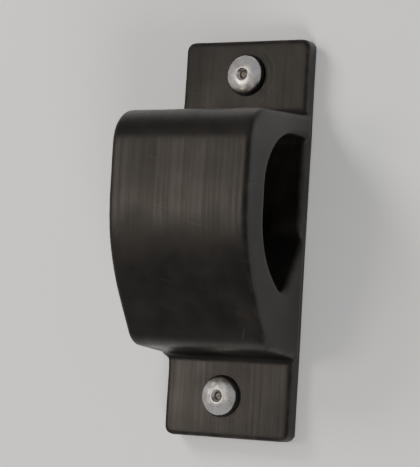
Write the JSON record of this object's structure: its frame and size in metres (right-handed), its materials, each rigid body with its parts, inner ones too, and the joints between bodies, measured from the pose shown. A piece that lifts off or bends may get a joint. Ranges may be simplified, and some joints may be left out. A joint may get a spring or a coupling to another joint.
{
  "type": "riveted loop bracket for a fish lip grip",
  "caption": "Black moulded loop bracket, riveted through two feet, with an oval eye that holds a fish lip grip against a kayak's side.",
  "frame": {"origin": "middle of the flat face that lies against the hull, on the underside of the gasket", "axes": "+X along the eye's tunnel, +Y along the base plate towards the upper foot, +Z out of the hull"},
  "size_m": [0.051, 0.13, 0.059],
  "materials": {
    "black_plastic": "moulded, semi-gloss, faintly streaked and scuffed",
    "black_rubber": "closed-cell neoprene, matt",
    "rivet_aluminium": "pressed, satin, with small dents",
    "mandrel_steel": "drawn wire with a torn end"
  },
  "bodies": {
    "root": {"holder_body": "black_plastic", "mounting_gasket": "black_rubber", "upper_rivet_washer": "black_rubber", "lower_rivet_washer": "black_rubber", "upper_rivet_body": "rivet_aluminium", "lower_rivet_body": "rivet_aluminium", "upper_rivet_mandrel": "mandrel_steel", "lower_rivet_mandrel": "mandrel_steel"}
  },
  "joints": []
}
